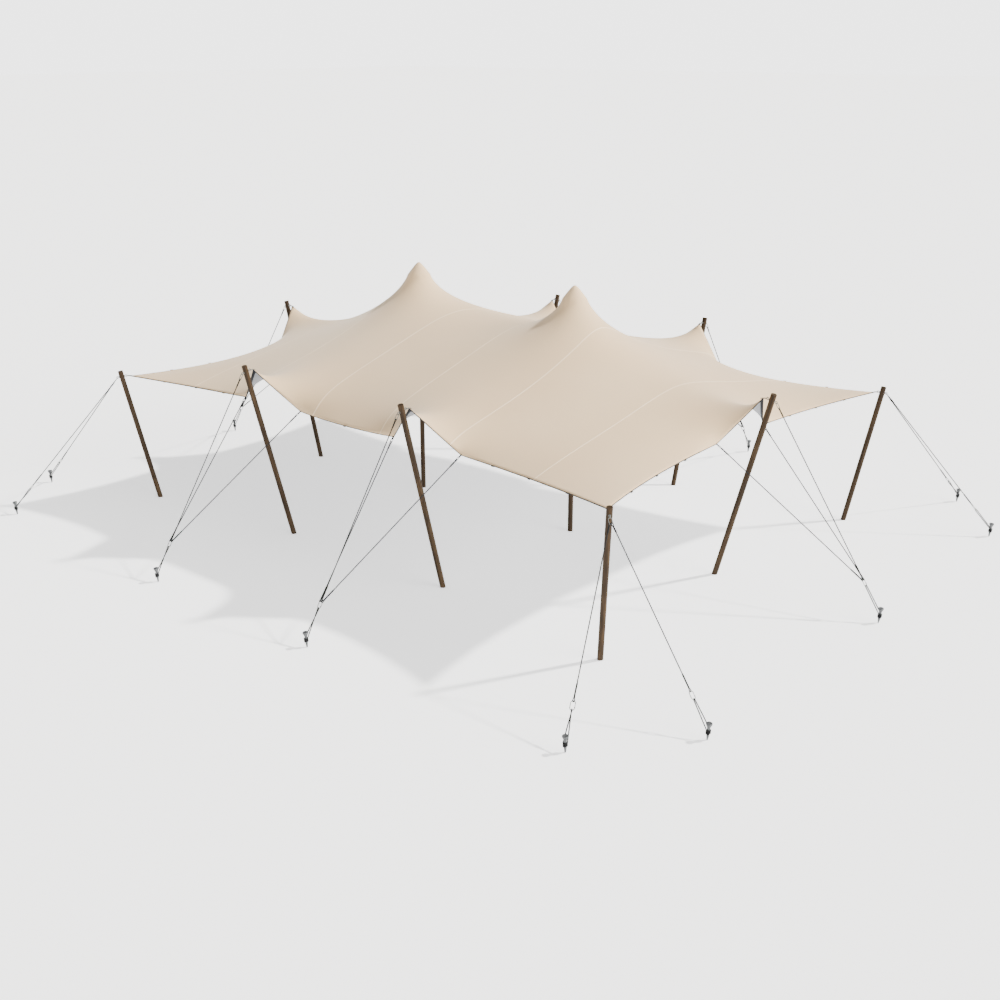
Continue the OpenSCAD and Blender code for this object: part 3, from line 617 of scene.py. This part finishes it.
FINE = 1 / 16
near = [0.0, 0.013, 0.026, 0.04, 0.056, 0.075, 0.098, 0.125, 0.155, 0.19]
half_u = [k * FINE for k in range(int(LENGTH / 2 / FINE) + 1) if abs(k * FINE - PEAK_U) > 0.215]
half_u = sorted(half_u + [PEAK_U + s * d for d in near for s in ((1, -1) if d else (1,))])
half_v = near + [k * FINE for k in range(int(WIDTH / 2 / FINE) + 1) if k * FINE > 0.215]
US = np.array([-u for u in half_u[:0:-1]] + half_u)
VS = np.array([-v for v in half_v[:0:-1]] + half_v)
NU, NV = len(US), len(VS)
GU, GV = np.meshgrid(US, VS, indexing="ij")


def bell(x, width):
    return np.exp(-(x / width) ** 2)


def pull(u, v):
    """Tension of the fabric, which rises towards each peak and each lifted point."""
    def near_point(strength, du, dv):
        return strength / np.maximum(0.06, np.hypot(du, dv))
    return (1 + near_point(0.458, u - PEAK_U, v) + near_point(0.458, u + PEAK_U, v)
            + near_point(0.531, np.abs(u) - 4 * CELL, np.abs(v) - 10 * CELL_W)
            + near_point(0.644, np.abs(u) - 14 * CELL, v))


def pull_u(u, v):
    """Tension along the length: hardest straight in from the end lifts, slack between the peaks."""
    return (pull(u, v) + 3 * bell(v, 0.396) * bell(14 * CELL - np.abs(u), 1.3)
            - (np.abs(u) <= PEAK_U) * 0.658 * bell(v, 0.6))


def pull_v(u, v):
    """Tension across: hardest straight in from the side lifts."""
    return pull(u, v) + 3 * bell(np.abs(u) - 4 * CELL, 0.28) * bell(10 * CELL_W - np.abs(v), 1.3)


def form_canopy():
    """Shape of the tensioned fabric between its held edge and the two peaks."""
    grid = np.stack([GU * 1.03, GV, 2.45 + (PEAK_Z - 2.45) * 0.55 * np.exp(
        -np.hypot(np.abs(GU) - PEAK_U, GV) / 1.7)], -1)
    reach = np.hypot(np.abs(GU) - PEAK_U, GV)
    cap = reach < CAP_R
    dome = np.stack([np.sign(GU) * (PEAK_X + (np.abs(GU) - PEAK_U) * 1.05), GV * 1.05,
                     PEAK_Z - np.sqrt(CAP_ROUND ** 2 + 2.04 * reach ** 2) + CAP_ROUND], -1)
    grid[cap] = dome[cap]
    for i, u in enumerate(US):
        for j in (0, NV - 1):
            grid[i, j] = signed(long_edge(u), u, VS[j])
    for j, v in enumerate(VS[1:-1], 1):
        for i in (0, NU - 1):
            grid[i, j] = signed(end_edge(v), US[i], v)
    du, dv = np.diff(US), np.diff(VS)
    wide_u, wide_v = (du[1:] + du[:-1]) / 2, (dv[1:] + dv[:-1]) / 2
    inner_u, inner_v = US[1:-1], VS[1:-1]
    mid_u, mid_v = (US[1:] + US[:-1]) / 2, (VS[1:] + VS[:-1]) / 2
    flow_u = pull_u(mid_u[:, None], inner_v[None]) * wide_v[None] / du[:, None]
    flow_v = pull_v(inner_u[:, None], mid_v[None]) * wide_u[:, None] / dv[None]
    e, w, n, s = flow_u[1:], flow_u[:-1], flow_v[:, 1:], flow_v[:, :-1]
    total = e + w + n + s
    e, w, n, s = [(x / total)[..., None] for x in (e, w, n, s)]
    free = ~cap[1:-1, 1:-1]
    checker = (np.add.outer(np.arange(NU - 2), np.arange(NV - 2)) % 2).astype(bool)
    masks = [(free & checker)[..., None] * 1.94, (free & ~checker)[..., None] * 1.94]
    for _ in range(800):
        for m in masks:
            g = grid
            rest = e * g[2:, 1:-1] + w * g[:-2, 1:-1] + n * g[1:-1, 2:] + s * g[1:-1, :-2]
            g[1:-1, 1:-1] += m * (rest - g[1:-1, 1:-1])
    return grid


GRID = form_canopy()
along_u = np.gradient(GRID, US, axis=0)
along_v = np.gradient(GRID, VS, axis=1)
NORMALS = np.cross(along_u, along_v)
NORMALS /= np.linalg.norm(NORMALS, axis=-1)[..., None]
SHEET_T = 0.0022


def patch(grid_top, grid_low, i0, i1, j0, j1):
    """Closed thin mesh of the grid's cells from i0, j0 to i1, j1, with top and low material slots."""
    rows, cols = i1 - i0 + 1, j1 - j0 + 1
    top = grid_top[i0:i1 + 1, j0:j1 + 1].reshape(-1, 3)
    low = grid_low[i0:i1 + 1, j0:j1 + 1].reshape(-1, 3)
    n = rows * cols
    faces, slots = [], []
    for i in range(rows - 1):
        for j in range(cols - 1):
            a, b = i * cols + j, (i + 1) * cols + j
            c, d = b + 1, a + 1
            faces += [(a, b, c, d), (n + a, n + d, n + c, n + b)]
            slots += [0, 1]
    rim = ([i * cols for i in range(rows)] + [(rows - 1) * cols + j for j in range(1, cols)]
           + [i * cols + cols - 1 for i in range(rows - 2, -1, -1)] + list(range(cols - 2, 0, -1)))
    for a, b in zip(rim, rim[1:] + rim[:1]):
        faces.append((a, n + a, n + b, b))
        slots.append(0)
    return np.concatenate([top, low]), faces, slots


low_grid = GRID - NORMALS * SHEET_T
canopy = add_mesh("canopy_fabric", [patch(GRID, low_grid, 0, NU - 1, 0, NV - 1)],
                  [CANOPY_TOP, CANOPY_UNDER])
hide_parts("canopy")


def seam_tape(x, width, height):
    """Lapped seam of two fabric panels, straight in plan at x, proud along its stitched sides."""
    profile = [(-1, -0.4), (-0.94, 0.55), (-0.72, 0.8), (-0.62, 0.55), (-0.5, 0.9), (0, 1.0),
               (0.5, 0.9), (0.62, 0.55), (0.72, 0.8), (0.94, 0.55), (1, -0.4)]
    rings = []
    for j in range(NV):
        i = int(np.searchsorted(GRID[:, j, 0], x)) - 1
        t = (x - GRID[i, j, 0]) / (GRID[i + 1, j, 0] - GRID[i, j, 0])
        place, normal, across = (mix(values[i, j], values[i + 1, j], t)
                                 for values in (GRID, NORMALS, along_u))
        across = unit(across)
        rings.append([place + across * a * width / 2 + normal * b * height for a, b in profile])
    sides = len(profile)
    faces = []
    for i in range(NV - 1):
        a, b = i * sides, (i + 1) * sides
        faces += [(a + (k + 1) % sides, a + k, b + k, b + (k + 1) % sides) for k in range(sides)]
    faces.append(tuple(range(sides)))
    faces.append(tuple((NV - 1) * sides + k for k in range(sides - 1, -1, -1)))
    return np.array(rings).reshape(-1, 3), faces, 0


PANEL = 1.57  # width of one panel of the fabric, stretched
seams = add_mesh("canopy_seams", [seam_tape(side * PANEL * k, 0.019, 0.0022)
                                  for k in (0.5, 1.5, 2.5) for side in (-1, 1)],
                 [SEAM])

# Webbing under the whole edge, and the piping that binds it.
band_top = GRID - NORMALS * (SHEET_T + 0.0004)
band_low = GRID - NORMALS * (SHEET_T + 0.0028)
band = add_mesh("edge_webbing", [
    patch(band_top, band_low, 0, NU - 1, 0, 1),
    patch(band_top, band_low, 0, NU - 1, NV - 2, NV - 1),
    patch(band_top, band_low, 0, 1, 1, NV - 2),
    patch(band_top, band_low, NU - 2, NU - 1, 1, NV - 2)],
    [WEBBING, WEBBING])
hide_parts("edge_band")

rim = np.concatenate([GRID[:-1, 0], GRID[-1, :-1], GRID[:0:-1, -1], GRID[0, :0:-1]])
rim_normals = np.concatenate([NORMALS[:-1, 0], NORMALS[-1, :-1], NORMALS[:0:-1, -1],
                              NORMALS[0, :0:-1]])
PIPING_R, PIPING_DROP = 0.008, 0.0075
piping = add_mesh("edge_piping", [tube(rim - rim_normals * PIPING_DROP, PIPING_R, 8, closed=True)],
                  [WEBBING])


# ---------------------------------------------------------------- tabs and straps
def tab_route(p, out):
    """Webbing from under the edge, out round a loop and back to the edge."""
    down = np.array([0, 0, -1.0])
    base = p + down * 0.0062
    r = 0.0075
    middle = p + out * 0.0235 + down * 0.0035
    points = [base - out * 0.045, base - out * 0.01, base + out * 0.006]
    for t in np.linspace(-0.75 * math.pi, 0.75 * math.pi, 19):
        points.append(middle + out * r * math.cos(t) - down * r * math.sin(t))
    points += [base + out * 0.0065 - down * 0.0029, base - out * 0.01 - down * 0.0006]
    return points


def edge_tab(p, before, after):
    along = (after - before) * (1, 1, 0)
    t = unit(along)
    out = np.array([t[1], -t[0], 0])
    slope = unit(after - before)
    return strip(resample(tab_route(p, out), 0.003)[0], slope, 0.044, 0.0026)


def long_pt(k, s):
    return signed(long_edge(k * CELL), k, s)


def end_pt(k, s):
    return signed(end_edge(k * CELL_W), s, k)


tabs = [edge_tab(long_pt(k, s), long_pt(k + s, s), long_pt(k - s, s))
        for s in (-1, 1) for k in (-12, -10, -8, 0, 8, 10, 12)]
tabs += [edge_tab(end_pt(k, s), end_pt(k - s, s), end_pt(k + s, s))
         for s in (-1, 1) for k in (-8, -6, -4, 4, 6, 8)]
tabs = add_mesh("edge_tab_loops", tabs, [TAB_WEBBING])
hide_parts("edge_tabs")


def strap_strip(point, bar, side, inside):
    """Strap sewn to the canopy at point, going round a link's bar and back."""
    way = unit(bar - point)
    lift = unit(np.cross(side, way))
    lift = lift if lift[2] > 0 else -lift
    r = LINK_BAR / 2 + 0.0022
    points = [point - way * inside - lift * 0.0052, point - lift * 0.0045,
              bar - way * 0.016 - lift * 0.0028]
    points += [bar + way * r * math.sin(t) - lift * r * math.cos(t)
               for t in np.linspace(0.12 * math.pi, 0.88 * math.pi, 11)]
    points += [bar - way * 0.016 + lift * 0.0028, point + lift * 0.0035,
               point - way * inside * 0.8 + lift * 0.0042]
    return strip(resample(points, 0.003)[0], side, 0.024, 0.0026)


straps = []
for post in POSTS:
    far_bar = post.inner_start() + post.inner_pull() * SHORT_LEN
    straps.append(strap_strip(post.canopy - UP * 0.002, far_bar, post.side, 0.04))
for dip, link, way in DIPS:
    straps.append(strap_strip(dip - UP * 0.002, link, side_of(way), 0.03))
straps = add_mesh("canopy_tie_straps", straps, [WEBBING])
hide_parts("canopy_straps")


# ---------------------------------------------------------------- finishes of the CAD pieces
def finish_node(name, material):
    mesh = NODES[name].data
    if not mesh.materials:
        mesh.materials.append(material)
    for k in range(len(NODES[name].material_slots)):
        NODES[name].material_slots[k].material = material


POLE_NODES = ["pole_corner_front_left", "pole_corner_front_right", "pole_corner_back_right",
              "pole_corner_back_left", "pole_side_front_left", "pole_side_front_right",
              "pole_side_back_right", "pole_side_back_left", "pole_end_left", "pole_end_right"]
for k, (name, post) in enumerate(zip(POLE_NODES, POSTS)):
    finish_node(name, wood_material(f"timber_{k + 1:02d}", post.foot, post.up, 1.3 * k))
for k, (name, x) in enumerate((("king_pole_left", -PEAK_X), ("king_pole_right", PEAK_X))):
    finish_node(name, wood_material(f"timber_king_{k + 1}", (x, 0, 0), UP, 17 + 2.1 * k))
finish_node("king_caps", RUBBER)
for name in ("eye_bolts", "bolt_washers", "gate_pins"):
    finish_node(name, ZINC)
for name in ("inner_links", "outer_links", "dip_links", "ground_carabiners"):
    finish_node(name, STEEL)
for number in range(1, 15):
    finish_node(f"gate_{number:02d}", STEEL)
for name in ("stakes_corner", "stakes_front", "stakes_back", "stakes_left", "stakes_right"):
    finish_node(name, STAKE_STEEL)


# ---------------------------------------------------------------- floor, light and camera
SUN = (0.441, 0.571, 0.692)
FILL = (0.96, 0.10, 0.26)
FLOOR_HALF = 300.0
FLOOR_GLOW = 0.95
HAZE = 3.5  # radiance of the backdrop at the horizon, which the lit floor runs into
SKY = 0.6


def studio():
    mesh = bpy.data.meshes.new("floor")
    s = FLOOR_HALF
    mesh.from_pydata([(-s, -s, 0), (s, -s, 0), (s, s, 0), (-s, s, 0)], [], [(0, 1, 2, 3)])
    floor = bpy.data.objects.new("floor", mesh)
    bpy.context.scene.collection.objects.link(floor)
    n = Nodes("pale_floor")
    n.set(Base_Color=(0.92, 0.92, 0.92, 1), Roughness=0.95, Specular_IOR_Level=0.05,
          Emission_Color=(1, 1, 1, 1), Emission_Strength=FLOOR_GLOW)
    mesh.materials.append(n.material)
    floor.location.z = -0.001

    world = bpy.data.worlds.new("studio")
    bpy.context.scene.world = world
    world.use_nodes = True
    nodes, links = world.node_tree.nodes, world.node_tree.links
    height = nodes.new("ShaderNodeSeparateXYZ")
    links.new(nodes.new("ShaderNodeTexCoord").outputs["Generated"], height.inputs[0])
    fade = nodes.new("ShaderNodeMapRange")
    fade.interpolation_type = "SMOOTHSTEP"
    for key, value in (("From Min", 0.05), ("From Max", 0.18), ("To Min", HAZE), ("To Max", SKY)):
        fade.inputs[key].default_value = value
    links.new(height.outputs["Z"], fade.inputs["Value"])
    background = nodes["Background"]
    background.inputs["Color"].default_value = (1, 1, 1, 1)
    links.new(fade.outputs["Result"], background.inputs["Strength"])

    lights = (("sun", 7.5, 3, SUN), ("soft_fill", 5.2, 40, FILL))
    for name, energy, spread, towards in lights:
        light = bpy.data.lights.new(name, "SUN")
        light.energy, light.angle, light.color = energy, math.radians(spread), (1.0, 0.985, 0.96)
        lamp = bpy.data.objects.new(name, light)
        lamp.rotation_euler = Vector(towards).to_track_quat("Z", "Y").to_euler()
        lamp.location = Vector(towards) * 30
        bpy.context.scene.collection.objects.link(lamp)

    camera = bpy.data.cameras.new("camera")
    camera.lens, camera.sensor_width = 46.07, 36
    camera.clip_start, camera.clip_end = 0.1, 500
    eye = bpy.data.objects.new("camera", camera)
    eye.location = (14.739, -16.858, 8.203)
    eye.rotation_euler = (math.radians(70.225), 0, math.radians(40.849))
    bpy.context.scene.collection.objects.link(eye)
    bpy.context.scene.camera = eye


studio()
